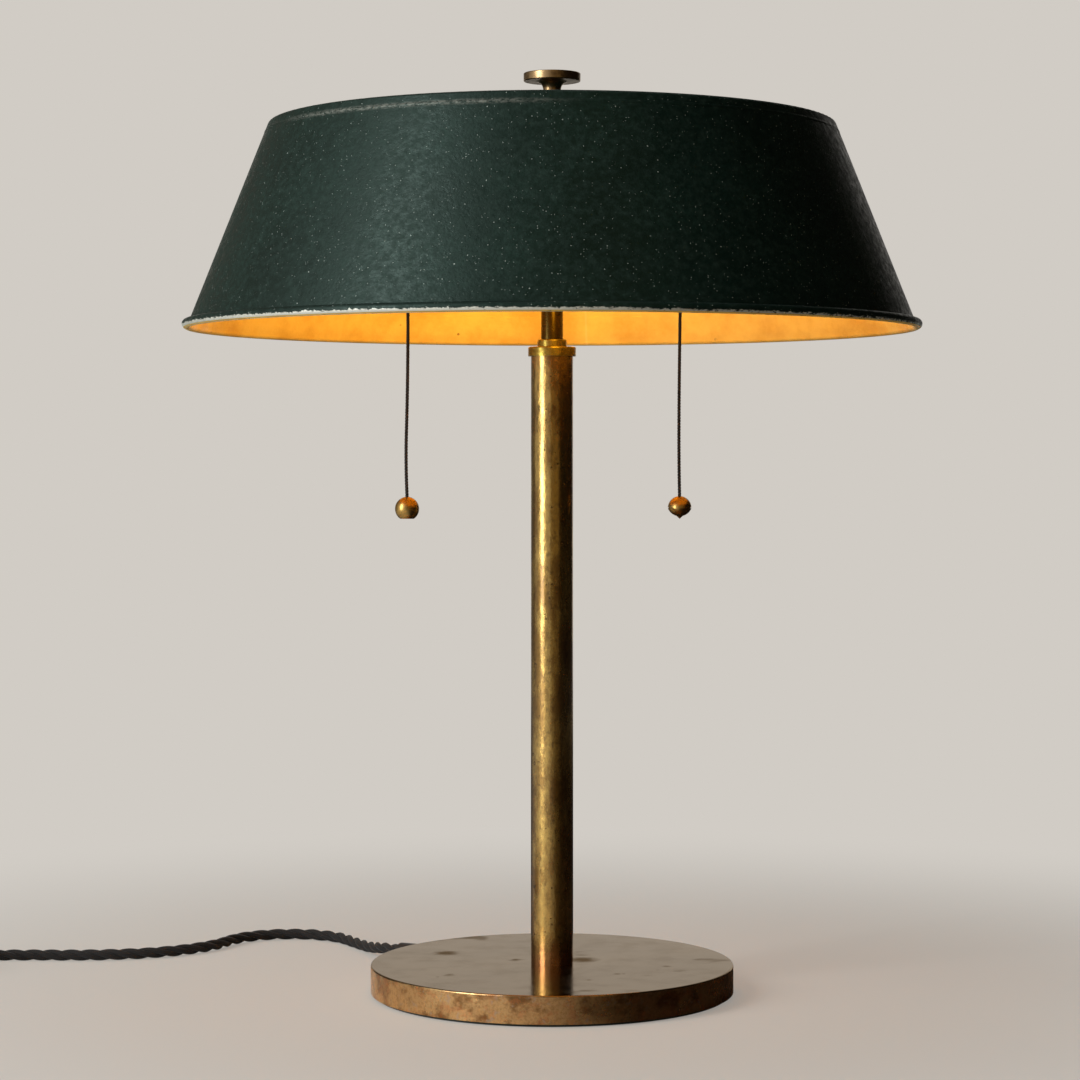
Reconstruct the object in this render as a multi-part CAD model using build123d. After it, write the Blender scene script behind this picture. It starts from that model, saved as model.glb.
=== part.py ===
from build123d import *

import math
import os

# Two-light bouillotte lamp. Millimetres, +Z up, origin on the table under the middle of the stem.
# -Y is the front. The arms lie on a line turned by arm_turn about the stem.

# ---- fits ----
slip = 0.1  # radial gap between nested parts that are screwed, soldered or glued together
running = 0.05  # radial gap of a shaft that turns or slides in its hole
free = 0.3  # gap between parts that move past each other

# ---- base ----
felt_t = 1.5
felt_inset = 2.5  # of the felt's edge from the base's side
base_d = 197.0
base_h = 14.8  # of the brass shell, on top of the felt
base_wall = 1.2
base_edge_r = 0.9
weight_gap = 0.4  # between the weight's rim and the shell
web_t = 4.0  # of iron above the weight's recess
recess_d = 44.0
channel_w = 11.0  # of the slot in the weight that the cord lies in
channel_h = 11.4

# ---- tie rod and its nuts ----
rod_d = 10.0
rod_bore = 7.0
rod_tail = 0.8  # of the rod beyond each nut
foot_washer_d = 28.0
foot_washer_t = 1.0
rod_nut_af = 14.0
rod_nut_h = 4.0

# ---- stem ----
stem_d = 23.0
stem_wall = 1.2
stem_h = 329.9
bush_h = 8.0
collar_d = 26.0
collar_h = 5.1
collar_edge_r = 0.8
ring_d = 16.0
ring_h = 4.0
ring_edge_r = 0.7
neck_d = 12.0
neck_h = 42.7

# ---- cluster ----
arm_turn = 13.0  # degrees from +X
cluster_d = 40.0
cluster_wall = 2.0
cluster_floor = 3.0
cluster_h = 38.0
cluster_edge_r = 3.0
lid_t = 2.0
lid_spigot_h = 2.0
arm_z = 20.0  # height of the arms above the cluster's floor line
boss_d = 17.0
boss_reach = 23.0  # from the stem's axis to the flat face of a boss
block_l = 16.0
block_w = 12.0
block_h = 15.0
block_corner_r = 2.0

# ---- arms and lampholders ----
bulb_gap_left = 11.27  # from the bulb to the shade's wall, level with the arms
bulb_gap_right = 18.27
sleeve_d = 13.0
nipple_d = 10.0
nipple_bore = 7.0
nipple_tail = 4.0  # of the nipple inside the holder
nipple_seat = 6.0  # of the nipple in the cluster's boss
holder_d = 34.0
holder_wall = 1.2
cap_l = 30.0
cap_shoulder_r = 8.0
cap_hollow_edge = 4.0
shell_l = 26.0  # of the shell that shows beyond the cap
shell_nest = 3.0  # of the shell inside the cap
shell_wall = 0.9
lip_t = 0.7
lip_w = 1.6
liner_t = 0.5
screw_shell_t = 0.7
screw_shell_l = 24.0
screw_shell_hole_d = 12.0  # in its end, round the contact
contact_d = 8.0
contact_t = 1.5
insulator_start = 4.5  # from the holder's back
insulator_edge = 4.0
insulator_boss_d = 24.0
insulator_boss_l = 2.5

# ---- pull switch ----
pull_travel = 9.0
spout_x = 22.0  # from the holder's back to the pull cord
spout_d = 8.0
spout_bore = 4.4
spout_drop = 11.0  # of the spout below the holder
spout_nest = 2.5  # of the spout above the holder's wall
spout_mouth_d = 10.0
spout_lip_h = 2.0
spout_lip_edge = 0.5
spout_flange_d = 11.0
spout_flange_t = 2.4
lever_arm = 13.0
lever_mid_z = -6.0  # of the lever's pivot below the holder's axis
lever_pin_d = 2.0
lever_hub_d = 5.0
lever_w = 3.0
lever_t = 1.6
fork_w = 7.0
fork_tail = 3.0  # of the fork past the cord
fork_slot = 2.4
switch_room_w = 11.0  # of the insulator's hollow across the lever
lever_pin_seat = 3.0  # of the pin in each side of the insulator
spring_wire_w = 0.6  # the wire is square
spring_d = 4.4  # over the coils
spring_pitch = 0.8
spring_turns = 3

# ---- bulbs ----
bulb_cap_d = 26.2
bulb_cap_l = 24.0
bulb_tip_d = 9.0
bulb_tip_l = 1.6
bulb_taper_l = 4.0
bulb_d = 45.0
bulb_l = 50.0  # of the glass beyond its cap
bulb_glass_t = 1.0

# ---- pull cords ----
cord_d = 1.6
knot_d = 4.0  # of the crimped ferrule at the cord's top, as wide as it is high
knot_waist = 30.0  # degrees from the ferrule's middle to the corners of its barrel
knot_end = 60.0  # degrees from its middle to the corners of its ends
knot_play = 0.4  # between the knot and the tilted lever
ball_d = 13.0
ball_foot_d = 7.4  # of the flat under the left ball
ball_seam_w = 0.5
ball_seam_depth = 0.45
ball_dome_h = 4.4  # of the right ball's lower half, which is flatter than the upper
ball_tip_d = 4.6
ball_tip_h = 1.4
ball_tip_sink = 0.3  # of the tip's wide end inside the ball
cord_in_ball = 1.0
# Sideways places of each cord along its fall, as (share of the fall, x, y) from straight below its lever.
pull_fall = 153.0  # from the lever's fork at rest to the ball's middle
cord_bend_left = [(0.38, 0.1, 0.0), (0.62, -0.3, -0.2), (0.84, -1.3, 0.1), (1.0, -0.4, 0.0)]
cord_bend_right = [(0.38, -0.5, 0.0), (0.62, -0.9, 0.2), (0.84, -1.0, 0.0), (1.0, -0.6, 0.1)]
pull_straight = 0.2  # share of the fall that stays upright under the lever

# ---- shade ----
shade_wall = 0.9
shade_top_d = 311.4  # over the cone, where the cap's skirt ends
shade_h = 111.3  # from the bottom of the wired rim to the top of the cap
rim_d = 400.0
bead_d = 5.0
bead_gap_from = 95.0  # degrees; the rolled edge ends here, short of the cone's wall
bead_gap_to = 124.0
wall_foot_rise = 0.8  # of the wall's foot above the bead's middle
wall_foot_inset = 1.1  # of the wall's foot from the bead's middle
shade_cap_h = 5.4
cap_sheet = 0.8
shade_shoulder_r = 1.8
cap_edge_r = 0.3
cone_top_gap = 1.5  # under the cap's plate, clear of its inner round
neck_bevel_h = 0.6  # of the step where the cone narrows, so that the cap's skirt lies flush with it
shade_hole_d = 6.6
seat_d = 30.0
seat_t = 2.0
seat_hub_d = 14.0
seat_hub_h = 10.0
shade_rod_d = 8.0
shade_rod_l = 32.7  # from the cluster's lid to the shade's top plate
shade_stud_d = 6.0
stud_h = 18.5  # of the stud above the washer
lid_nut_af = 10.0
lid_nut_h = 4.0
stud_tail = 1.0  # of the stud below the lid's nut

# ---- finial ----
finial_washer_d = 20.0
finial_washer_t = 1.5
finial_foot_d = 15.0
finial_foot_h = 2.5
finial_neck_d = 9.7
finial_disc_d = 31.0
finial_disc_t = 4.6
finial_h = 27.3  # from the washer to the top of the disc
finial_flare_r = 4.5
finial_foot_r = 1.5
finial_edge_r = 0.6
finial_bore_depth = 20.5

# ---- mains cord ----
flex_d = 6.5
exit_angle = 135.0  # degrees from +X, the side where the cord leaves the base
exit_z = 8.4
gland_neck_d = 9.0
gland_collar_d = 12.5
gland_collar_t = 2.5
gland_collar_edge = 0.6
gland_tip_d = 8.6
gland_l = 24.0  # outside the base
gland_nest = 4.0  # inside the base
gland_straight = 13.0  # from the gland's tip to the cord's first turn
clamp_inset = 12.5  # from the base's side to the middle of the cord clamp
clamp_l = 8.0
clamp_w = 24.0
clamp_t = 2.0
clamp_screw_d = 3.0
clamp_head_d = 5.5
clamp_head_h = 1.5
clamp_screw_pitch = 17.0
clamp_screw_l = 6.0
flex_tail = 8.0  # of the flex past the middle of its clamp
core_d = 2.2
core_pitch = 2.8
core_bend_r = 5.0
core_straight = 14.0  # beyond the end of the flex
core_dive = 30.0  # along the slope down to the floor of the recess
core_slope_r = 24.0
flex_z = flex_d / 2 + 0.05
# The route on the table, from the gland to the coil.
flex_route = [
    (-106.0, 121.0, flex_z + 0.6),
    (-117.0, 143.0, flex_z),
    (-128.0, 163.5, flex_z),
    (-148.1, 174.7, flex_z),
    (-171.0, 173.1, flex_z),
    (-189.4, 159.3, flex_z),
    (-199.5, 131.0, flex_z),
    (-227.0, 108.0, flex_z),
    (-264.0, 99.0, flex_z),
    (-304.0, 100.5, flex_z),
    (-338.0, 98.5, flex_z),
]
coil_x = -372.0
coil_y = 56.5
coil_turns_across = 3
coil_layers = 2
coil_pitch = 6.6
coil_inner_r = 28.8  # to the middle of the inmost turn
coil_edge = 2.4
coil_lead_in = 12.0  # from the coil's middle along X to where the flex joins it
coil_lead_out = 6.0  # from the coil's middle along Y to where the tail leaves it
tail_route = [(-43.0, -26.0, 8.6), (-40.5, -47.0, 8.6)]  # from the coil's middle
plug_z = 8.6
plug_w = 27.0
plug_h = 17.0
plug_l = 34.0
plug_neck_d = 10.0
plug_neck_l = 12.0
plug_corner_r = 3.0
plug_taper_w = 5.0  # between the neck's wide end and the grip
plug_taper_h = 3.0
blade_w = 6.3
blade_t = 1.5
blade_l = 17.0
blade_pitch = 12.7

BASE = (Align.CENTER, Align.CENTER, Align.MIN)


# ---- shapes ----
def rod(diameter, low, high):
    """An upright cylinder between two heights."""
    return Pos(0, 0, low) * Cylinder(diameter / 2, high - low, align=BASE)


def tube(outer, bore, low, high):
    """An upright tube between two heights."""
    return rod(outer, low, high) - rod(bore, low, high)


def nut(across_flats, bore, low, high):
    """A hexagon nut between two heights."""
    hexagon = RegularPolygon(across_flats / 2, 6, major_radius=False)
    return Pos(0, 0, low) * extrude(hexagon, high - low) - rod(bore, low, high)


def turned(*outline):
    """A solid turned about Z from the outline's (radius, height) points."""
    face = make_face(Polyline(*outline, close=True))
    return revolve(Plane.XZ * face, Axis.Z)


def edges_at(part, low, high, wide=0.0):
    """The round edges between two heights whose radius is at least wide."""
    return [
        e
        for e in part.edges().filter_by(GeomType.CIRCLE)
        if low <= e.center().Z <= high and e.radius >= wide
    ]


def rounded(part, radius, low, high, wide):
    return fillet(edges_at(part, low, high, wide), radius)


def arc_radii(points, share=0.45):
    """One radius for each corner of a cord's route, whose arc takes a share of the shorter run."""
    corners = [Vector(*p) for p in points]
    radii = []
    for a, b, c in zip(corners, corners[1:], corners[2:]):
        shorter = min((b - a).length, (c - b).length)
        half_turn = math.radians((b - a).get_angle(c - b)) / 2
        radii.append(share * shorter / math.tan(half_turn))
    return radii


def cord(points, diameter, radii=None):
    """A cord's tube along straight runs joined by arcs."""
    radii = radii or arc_radii(points)
    path = FilletPolyline(*points, radius=radii) if len(points) > 2 else Line(*points)
    start = Plane(path @ 0, z_dir=path % 0)
    solid = sweep(start * Circle(diameter / 2), path=path)
    return solid, path.length, radii


parts = {}

# ---- base ----
base_low = felt_t
base_top = base_low + base_h
parts["base_felt"] = rod(base_d - 2 * felt_inset, 0, felt_t)

exit_axis = Rot(0, 0, exit_angle)


def outward(part):
    """Turns a part built along +X to the side where the cord leaves the base."""
    return exit_axis * part


def across(diameter, start, end, z):
    """A cylinder along X between two distances from the stem's axis."""
    return Pos(start, 0, z) * Rot(0, 90, 0) * Cylinder(diameter / 2, end - start, align=BASE)


shell = rod(base_d, base_low, base_top) - rod(base_d - 2 * base_wall, base_low, base_top - base_wall)
shell = rounded(shell, base_edge_r, base_top, base_top, base_d / 2 - 0.1)
shell -= rod(rod_d + 2 * slip, base_low, base_top)
shell -= outward(across(gland_neck_d + 2 * slip, base_d / 2 - gland_nest, base_d / 2 + gland_nest, exit_z))
parts["base_shell"] = shell

weight_top = base_top - base_wall
weight_d = base_d - 2 * base_wall - 2 * weight_gap
recess_top = weight_top - web_t
weight = rod(weight_d, felt_t, weight_top) - rod(recess_d, felt_t, recess_top)
weight -= rod(rod_d + 2 * slip, felt_t, weight_top)
weight -= outward(
    Pos(recess_d / 4, 0, felt_t)
    * Box(base_d / 2, channel_w, channel_h, align=(Align.MIN, Align.CENTER, Align.MIN))
)
clamp_x = base_d / 2 - clamp_inset
clamp_top = exit_z - flex_d / 2
clamp_low = clamp_top - clamp_t
weight -= outward(
    Pos(clamp_x, 0, felt_t) * Box(clamp_l + 2 * free, clamp_w + 2 * free, clamp_top - felt_t, align=BASE)
)
for side in (-1, 1):
    weight -= outward(
        Pos(clamp_x, side * clamp_screw_pitch / 2, 0)
        * rod(clamp_screw_d + 2 * slip, clamp_top, clamp_top + clamp_screw_l + free)
    )
parts["base_weight"] = weight

washer_low = recess_top - foot_washer_t
foot_nut_low = washer_low - rod_nut_h
rod_low = foot_nut_low - rod_tail
parts["foot_washer"] = tube(foot_washer_d, rod_d + 2 * slip, washer_low, recess_top)

plate = Pos(clamp_x, 0, clamp_low) * Box(clamp_l, clamp_w, clamp_t, align=BASE)
screws = []
for side in (-1, 1):
    at = Pos(clamp_x, side * clamp_screw_pitch / 2, 0)
    plate -= at * rod(clamp_screw_d + 2 * slip, clamp_low, clamp_top)
    head = rod(clamp_head_d, clamp_low - clamp_head_h, clamp_low)
    screws.append(outward(at * (head + rod(clamp_screw_d, clamp_low, clamp_top + clamp_screw_l))))
parts["cord_clamp"] = outward(plate)
parts["clamp_screws"] = Compound(screws)

# ---- stem, collar, ring and neck ----
stem_top = base_top + stem_h
collar_top = stem_top + collar_h
ring_top = collar_top + ring_h
neck_top = ring_top + neck_h
cluster_low = neck_top
cluster_top = cluster_low + cluster_h
arms_at = cluster_low + arm_z
stem_bore = stem_d - 2 * stem_wall

parts["stem_tube"] = tube(stem_d, stem_bore, base_top, stem_top)
bush_d = stem_bore - 2 * slip
parts["stem_bushes"] = Compound(
    [tube(bush_d, rod_d + 2 * slip, low, low + bush_h) for low in (base_top, stem_top - bush_h)]
)
collar = tube(collar_d, rod_d + 2 * slip, stem_top, collar_top)
parts["stem_collar"] = rounded(collar, collar_edge_r, collar_top, collar_top, collar_d / 2 - 0.1)
ring = tube(ring_d, rod_d + 2 * slip, collar_top, ring_top)
parts["neck_ring"] = rounded(ring, ring_edge_r, ring_top, ring_top, ring_d / 2 - 0.1)
parts["neck_tube"] = tube(neck_d, rod_d + 2 * slip, ring_top, neck_top)

# ---- cluster ----
rod_nut_low = cluster_low + cluster_floor
rod_top = rod_nut_low + rod_nut_h + rod_tail
parts["tie_rod"] = tube(rod_d, rod_bore, rod_low, rod_top)
parts["rod_nuts"] = Compound(
    [nut(rod_nut_af, rod_d + 2 * slip, low, low + rod_nut_h) for low in (foot_nut_low, rod_nut_low)]
)

ARM_SIDES = {"left": 180.0, "right": 0.0}


def on_arm(part, side):
    """Puts a part that is built along +X from the stem's axis on one arm's line."""
    return Pos(0, 0, arms_at) * Rot(0, 0, arm_turn + ARM_SIDES[side]) * part


cluster = rod(cluster_d, cluster_low, cluster_top)
cluster = rounded(cluster, cluster_edge_r, cluster_low, cluster_low, cluster_d / 2 - 0.1)
for side in ARM_SIDES:
    cluster += on_arm(across(boss_d, 0, boss_reach, 0), side)
cluster_bore = cluster_d - 2 * cluster_wall
cluster -= rod(cluster_bore, cluster_low + cluster_floor, cluster_top)
cluster -= rod(rod_d + 2 * slip, cluster_low, cluster_top)
for side in ARM_SIDES:
    cluster -= on_arm(across(nipple_d + 2 * slip, 0, boss_reach, 0), side)
parts["cluster_body"] = cluster

lid_top = cluster_top + lid_t
lid = rod(cluster_d, cluster_top, lid_top) + rod(
    cluster_bore - 2 * slip, cluster_top - lid_spigot_h, cluster_top
)
lid = chamfer(edges_at(lid, lid_top, lid_top), lid_t / 2)
parts["cluster_lid"] = lid - rod(shade_stud_d + 2 * slip, cluster_top - lid_spigot_h, lid_top)
lid_nut_top = cluster_top - lid_spigot_h
lid_nut_low = lid_nut_top - lid_nut_h
parts["lid_nut"] = nut(lid_nut_af, shade_stud_d + 2 * slip, lid_nut_low, lid_nut_top)

block = Pos(0, 0, rod_top) * Box(block_l, block_w, block_h, align=BASE)
parts["terminal_block"] = Rot(0, 0, arm_turn) * fillet(block.edges().filter_by(Axis.Z), block_corner_r)

# ---- cores from the flex up the rod ----
core_floor = felt_t + core_d / 2 + free
flex_end_x = clamp_x - flex_tail
cores = []
for side in (-1, 1):
    y = side * core_pitch / 2
    route = [
        (flex_end_x, y, exit_z),
        (flex_end_x - core_straight, y, exit_z),
        (flex_end_x - core_straight - core_dive, y, core_floor),
        (0, y, core_floor),
        (0, y, rod_top),
    ]
    cores.append(outward(cord(route, core_d, [core_slope_r, core_slope_r, core_bend_r])[0]))
parts["stem_leads"] = Compound(cores)

# ---- outline of the shade ----
plate_low = lid_top + shade_rod_l
shade_top = plate_low + cap_sheet
rim_low = shade_top - shade_h
bead_r = bead_d / 2
bead_z = rim_low + bead_r
bead_x = rim_d / 2 - bead_r
skirt_z = shade_top - shade_cap_h
wall_foot_z = bead_z + wall_foot_rise
wall_foot_x = bead_x - wall_foot_inset
cone_slope = (wall_foot_x - shade_top_d / 2) / (skirt_z - wall_foot_z)
wall_across = shade_wall / math.cos(math.atan(cone_slope))


def cone_x(z):
    """The cone's outer radius at a height."""
    return shade_top_d / 2 + (skirt_z - z) * cone_slope


# ---- arms and lampholders ----
inside_d = holder_d - 2 * holder_wall
mouth_x = cap_l + shell_l
half_throw = math.degrees(math.asin(pull_travel / 2 / lever_arm))
pivot_x = spout_x - lever_arm
lever_pin_l = switch_room_w + 2 * lever_pin_seat
insulator_end = cap_l - shell_nest - slip
contact_x = insulator_end + insulator_boss_l
liner_d = holder_d - 2 * holder_wall - 2 * slip - 2 * shell_wall - 2 * slip
bulb_end = contact_x + contact_t + bulb_cap_l + bulb_l
wall_at_arms = cone_x(arms_at) - wall_across
holder_back = {
    "left": wall_at_arms - bulb_gap_left - bulb_end,
    "right": wall_at_arms - bulb_gap_right - bulb_end,
}


def sideways(part):
    """Turns a part built upwards from the holder's back so that up becomes +X."""
    return Rot(0, 90, 0) * part


def in_switch(part):
    """Moves a part built round the lever's pivot to its place in the holder."""
    return Pos(pivot_x, 0, lever_mid_z) * part


def crosswise(diameter, low, high):
    """A cylinder along Y."""
    return Rot(-90, 0, 0) * rod(diameter, low, high)


def holder_cap():
    body = rod(holder_d, 0, cap_l)
    body = rounded(body, cap_shoulder_r, 0, 0, holder_d / 2 - 0.1)
    hollow = rod(inside_d, holder_wall, cap_l)
    hollow = chamfer(edges_at(hollow, holder_wall, holder_wall), cap_hollow_edge)
    body = sideways(body - hollow - rod(nipple_d + 2 * slip, 0, holder_wall))
    return body - Pos(spout_x, 0, 0) * rod(spout_d + 2 * slip, -holder_d, 0)


def holder_shell():
    outer = inside_d - 2 * slip
    body = rod(outer, cap_l - shell_nest, mouth_x)
    body += rod(holder_d, cap_l, cap_l + lip_w)
    body += rod(outer + 2 * lip_t, mouth_x - lip_w, mouth_x)
    return sideways(body - rod(outer - 2 * shell_wall, cap_l - shell_nest, mouth_x))


def holder_insulator():
    outer = inside_d - 2 * slip
    body = rod(outer, insulator_start, insulator_end)
    body = chamfer(edges_at(body, insulator_start, insulator_start, outer / 2 - 0.1), insulator_edge)
    body += rod(insulator_boss_d, insulator_end, contact_x)
    body = sideways(body)
    sweep_z = (lever_arm + fork_tail) * math.sin(math.radians(half_throw)) + lever_t / 2 + free
    room_low = lever_mid_z - sweep_z
    room_top = knot_top() + pull_travel / 2 + free
    room_start = pivot_x - lever_hub_d / 2 - free
    room_end = spout_x + fork_tail + free
    room = Pos(room_start, 0, room_low) * Box(
        room_end - room_start,
        switch_room_w,
        room_top - room_low,
        align=(Align.MIN, Align.CENTER, Align.MIN),
    )
    body -= room
    body -= Pos(spout_x, 0, 0) * rod(spout_d + 2 * slip, -holder_d, lever_mid_z)
    body -= in_switch(crosswise(lever_pin_d + 2 * slip, -lever_pin_l / 2, lever_pin_l / 2))
    return body


def knot_rise():
    """From the lever's middle plane to the knot's middle, at the tip."""
    return (knot_d / 2 + lever_t / 2) / math.cos(math.radians(half_throw)) + knot_play


def knot_top():
    return lever_mid_z + knot_rise() + knot_d / 2


def ferrule():
    """A small barrel crimped round the cord's end, with its corners on a sphere."""
    r = knot_d / 2
    turns = (-knot_end, -knot_waist, knot_waist, knot_end)
    corners = [Vector(r, 0).rotate(Axis.Z, angle) for angle in turns]
    return turned((0, -r), *[(c.X, c.Y) for c in corners], (0, r))


def pull_spout():
    low = -holder_d / 2 - spout_drop
    body = rod(spout_d, low, -holder_d / 2 + holder_wall + spout_nest)
    body += rod(spout_mouth_d, low, low + spout_lip_h)
    body += rod(spout_flange_d, -holder_d / 2 - spout_flange_t, -holder_d / 2)
    body = chamfer(edges_at(body, low, low + spout_lip_h, spout_mouth_d / 2 - 0.1), spout_lip_edge)
    return Pos(spout_x, 0, 0) * (body - rod(spout_bore, low, 0))


def switch_lever():
    """The lever at rest, tilted up by half its throw."""
    hub = crosswise(lever_hub_d, -lever_w / 2, lever_w / 2)
    arm = Pos(lever_arm / 2, 0, 0) * Box(lever_arm, lever_w, lever_t)
    fork_l = 2 * fork_tail
    fork = Pos(lever_arm, 0, 0) * Box(fork_l, fork_w, lever_t)
    slot = Pos(lever_arm - fork_slot / 2, 0, 0) * Box(
        fork_l + fork_slot, fork_slot, 2 * lever_t, align=(Align.MIN, Align.CENTER, Align.CENTER)
    )
    body = hub + arm + fork - slot
    body -= crosswise(lever_pin_d + 2 * running, -lever_w, lever_w)
    return in_switch(Rot(0, -half_throw, 0) * body)


def lever_spring():
    wire = spring_wire_w
    middle = (spring_d - wire) / 2
    path = Helix(spring_pitch, spring_pitch * spring_turns, middle)
    section = Plane(path @ 0, z_dir=path % 0) * Rectangle(wire, wire)
    coil = sweep(section, path=path, is_frenet=True)
    return in_switch(Pos(0, lever_w / 2 + free + wire / 2, 0) * Rot(-90, 0, 0) * coil)


def bulb_cap():
    start = contact_x + contact_t
    shoulder = start + bulb_tip_l
    wide = shoulder + bulb_taper_l
    outline = [
        (0, start),
        (bulb_tip_d / 2, start),
        (bulb_tip_d / 2, shoulder),
        (bulb_cap_d / 2, wide),
        (bulb_cap_d / 2, start + bulb_cap_l),
        (0, start + bulb_cap_l),
    ]
    return sideways(turned(*outline))


def bulb_glass():
    """A round envelope on a short neck, open where it sits on its cap."""
    start = contact_x + contact_t + bulb_cap_l
    middle = start + bulb_l - bulb_d / 2

    def envelope(shrink):
        ball = Pos(0, 0, middle) * Sphere(bulb_d / 2 - shrink)
        return ball + rod(bulb_cap_d - 2 * shrink, start, middle)

    return sideways(envelope(0) - envelope(bulb_glass_t))


pairs = {}  # small pieces that both arms have, one node for each kind
for side, back in holder_back.items():

    def place(part):
        return on_arm(Pos(back, 0, 0) * part, side)

    nipple_in = boss_reach - nipple_seat
    nipple = across(nipple_d, nipple_in, back + nipple_tail, 0)
    nipple -= across(nipple_bore, nipple_in, back + nipple_tail, 0)
    sleeve = across(sleeve_d, boss_reach, back, 0)
    sleeve -= across(nipple_d + 2 * slip, boss_reach, back, 0)
    leads = [
        on_arm(Pos(0, y, 0) * across(core_d, block_l / 2, back + insulator_start, 0), side)
        for y in (-core_pitch / 2, core_pitch / 2)
    ]
    screw_d = liner_d - 2 * liner_t - 2 * slip
    screw_shell = tube(screw_d, screw_d - 2 * screw_shell_t, contact_x, contact_x + screw_shell_l)
    screw_shell += tube(screw_d, screw_shell_hole_d, contact_x, contact_x + screw_shell_t)
    liner = tube(liner_d, liner_d - 2 * liner_t, contact_x, mouth_x - lip_w)
    pin = crosswise(lever_pin_d, -lever_pin_l / 2, lever_pin_l / 2)
    pairs.setdefault("arm_nipples", []).append(on_arm(nipple, side))
    pairs.setdefault("arm_leads", []).extend(leads)
    pairs.setdefault("screw_shells", []).append(place(sideways(screw_shell)))
    pairs.setdefault("holder_liners", []).append(place(sideways(liner)))
    pairs.setdefault("centre_contacts", []).append(
        place(across(contact_d, contact_x, contact_x + contact_t, 0))
    )
    pairs.setdefault("lever_pins", []).append(place(in_switch(pin)))
    pairs.setdefault("lever_springs", []).append(place(lever_spring()))
    pairs.setdefault("bulb_caps", []).append(place(bulb_cap()))
    parts[f"arm_sleeve_{side}"] = on_arm(sleeve, side)
    parts[f"holder_cap_{side}"] = place(holder_cap())
    parts[f"holder_shell_{side}"] = place(holder_shell())
    parts[f"holder_insulator_{side}"] = place(holder_insulator())
    parts[f"pull_spout_{side}"] = place(pull_spout())
    parts[f"switch_lever_{side}"] = place(switch_lever())
    parts[f"bulb_glass_{side}"] = place(bulb_glass())
for name, solids in pairs.items():
    parts[name] = Compound(solids)

# ---- pull cords ----
for side, bend in (("left", cord_bend_left), ("right", cord_bend_right)):
    sign = -1 if side == "left" else 1
    reach = sign * (holder_back[side] + spout_x)
    cord_x = reach * math.cos(math.radians(arm_turn))
    cord_y = reach * math.sin(math.radians(arm_turn))
    fork_z = arms_at + lever_mid_z + pull_travel / 2
    knot_z = fork_z + knot_rise()
    route = [(cord_x, cord_y, knot_z), (cord_x, cord_y, fork_z - pull_straight * pull_fall)]
    route += [(cord_x + x, cord_y + y, fork_z - share * pull_fall) for share, x, y in bend]
    end_x, end_y, ball_z = route[-1]
    route[-1] = (end_x, end_y, ball_z + ball_d / 2 - cord_in_ball)
    pull_cord, length, radii = cord(route, cord_d)
    print(f"pull cord {side}: {length:.1f} mm, radii {[round(r) for r in radii]}")
    knot = Pos(cord_x, cord_y, knot_z) * ferrule()
    parts[f"pull_knot_{side}"] = knot
    parts[f"pull_cord_{side}"] = pull_cord - knot
    ball = Sphere(ball_d / 2) - rod(cord_d, 0, ball_d)
    at = Pos(end_x, end_y, ball_z)
    if side == "left":
        foot = math.sqrt((ball_d / 2) ** 2 - (ball_foot_d / 2) ** 2)
        parts["pull_ball_left"] = at * (ball - rod(ball_d, -ball_d, -foot))
    else:
        seam = tube(ball_d + 2, ball_d - 2 * ball_seam_depth, -ball_seam_w / 2, ball_seam_w / 2)
        parts["pull_ball_right"] = at * (ball - rod(ball_d + 2, -ball_d, -ball_seam_w / 2) - seam)
        dome_r = ((ball_d / 2) ** 2 + ball_dome_h**2) / (2 * ball_dome_h)
        dome_low = -ball_seam_w / 2 - ball_dome_h
        dome_z = dome_low + dome_r
        lower = Pos(0, 0, dome_z) * Sphere(dome_r) - rod(3 * dome_r, -ball_seam_w / 2, 3 * dome_r)
        tip_z = dome_z - math.sqrt(dome_r**2 - (ball_tip_d / 2) ** 2) + ball_tip_sink
        tip = turned((0, dome_low / 2), (ball_tip_d / 2, tip_z), (0, dome_low - ball_tip_h))
        parts["pull_ball_right_tip"] = at * (lower + tip)
    parts[f"pull_cord_{side}"] -= parts[f"pull_ball_{side}"]

# ---- shade ----
def on_bead(radius, degrees):
    angle = math.radians(degrees)
    return (bead_x + radius * math.cos(angle), bead_z + radius * math.sin(angle))


cone_top = plate_low - cone_top_gap
neck_step = cap_sheet + slip
neck_low = skirt_z - slip
bevel_low = neck_low - neck_bevel_h
outside = [
    (cone_x(cone_top) - neck_step, cone_top),
    (cone_x(neck_low) - neck_step, neck_low),
    (cone_x(bevel_low), bevel_low),
    (wall_foot_x, wall_foot_z),
]
inside = [(x - wall_across, z) for x, z in reversed(outside)]
wall = make_face(Polyline(*outside, *inside, close=True))
wire_hole_r = bead_r - shade_wall
roll = Pos(bead_x, bead_z) * (Circle(bead_r) - Circle(wire_hole_r))
slit = make_face(
    Polyline(
        (bead_x, bead_z),
        on_bead(2 * bead_r, bead_gap_from),
        on_bead(2 * bead_r, bead_gap_to),
        close=True,
    )
)
wall -= Pos(bead_x, bead_z) * Circle(wire_hole_r)
profile = roll - slit + wall
parts["shade_cone"] = revolve(Plane.XZ * profile, Axis.Z)
parts["rim_wire"] = revolve(
    Plane.XZ * (Pos(bead_x, bead_z) * Circle(wire_hole_r - slip)), Axis.Z
)

skirt_out = cone_x(skirt_z)
skirt_in = skirt_out - cap_sheet
lean = cone_slope * shade_cap_h
inner_corner_x = skirt_in - cone_slope * (plate_low - skirt_z)
lid_outer = make_face(
    Polyline((0, skirt_z), (skirt_out, skirt_z), (skirt_out - lean, shade_top), (0, shade_top), close=True)
)
lid_inner = make_face(
    Polyline(
        (0, skirt_z - 1),
        (skirt_in + cone_slope, skirt_z - 1),
        (inner_corner_x, plate_low),
        (0, plate_low),
        close=True,
    )
)


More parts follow.
